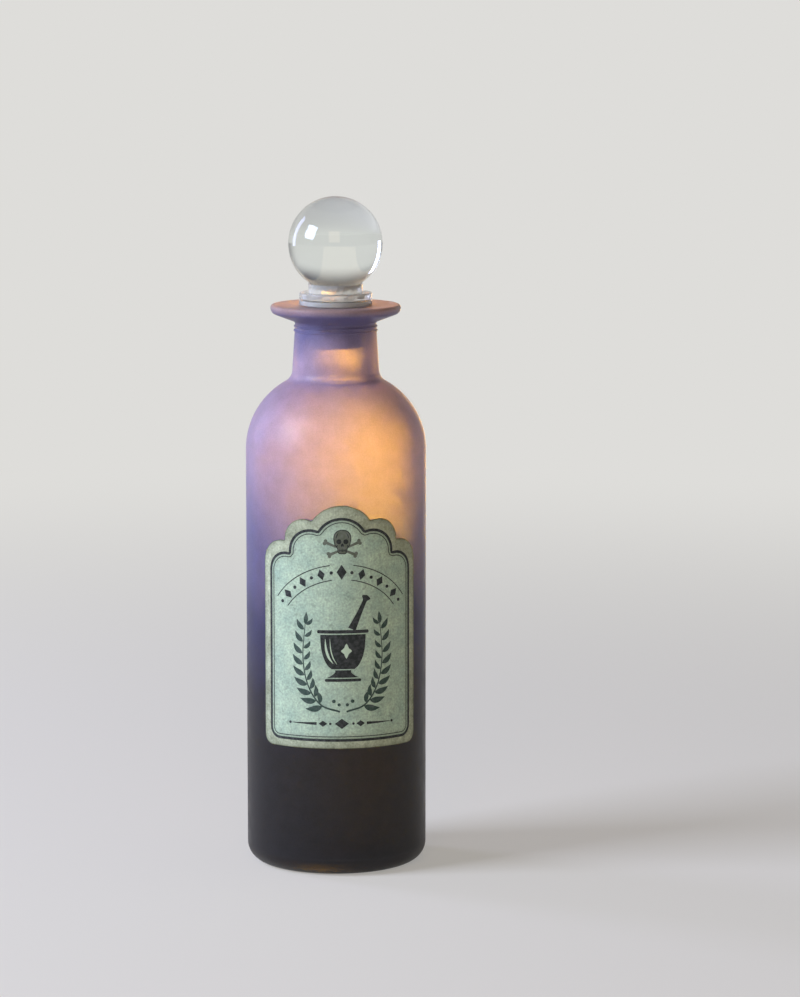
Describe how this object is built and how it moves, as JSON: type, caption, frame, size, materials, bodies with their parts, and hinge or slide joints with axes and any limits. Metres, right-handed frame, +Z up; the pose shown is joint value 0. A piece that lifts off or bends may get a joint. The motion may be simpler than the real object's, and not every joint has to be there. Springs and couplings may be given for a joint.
{
  "type": "potion bottle",
  "caption": "Round apothecary bottle of frosted glass with a flared lip, a scalloped front label and a lift-out stopper topped by a solid glass ball.",
  "frame": {"origin": "centre of the bottle's base, on the surface it stands on", "axes": "+Z up along the bottle's axis, -Y towards the label, +X to the label's right as it is read"},
  "size_m": [0.067, 0.0679, 0.2494],
  "materials": {
    "frosted_purple_glass": "acid-frosted outside, shading from lilac at the lip to deep aubergine at the base",
    "aged_label_paper": "matt aged label stock with a dark printed double border",
    "clear_soft_plastic": "moulded, clear and slightly hazy",
    "clear_glass": "fire-polished"
  },
  "bodies": {
    "bottle": {"bottle_glass": "frosted_purple_glass", "front_label": "aged_label_paper"},
    "bung": {"stopper_bung": "clear_soft_plastic"},
    "stopper": {"stopper_collar": "clear_glass", "glass_ball": "clear_glass"}
  },
  "joints": [
    {"name": "stopper_lift", "type": "slide", "parent": "bottle", "child": "bung", "axis": [0, 0, 1], "range_m": [0, 0.04]},
    {"name": "stopper_turn", "type": "hinge", "parent": "bung", "child": "stopper", "pos_m": [0, 0, 0.209], "axis": [0, 0, 1], "continuous": true}
  ]
}
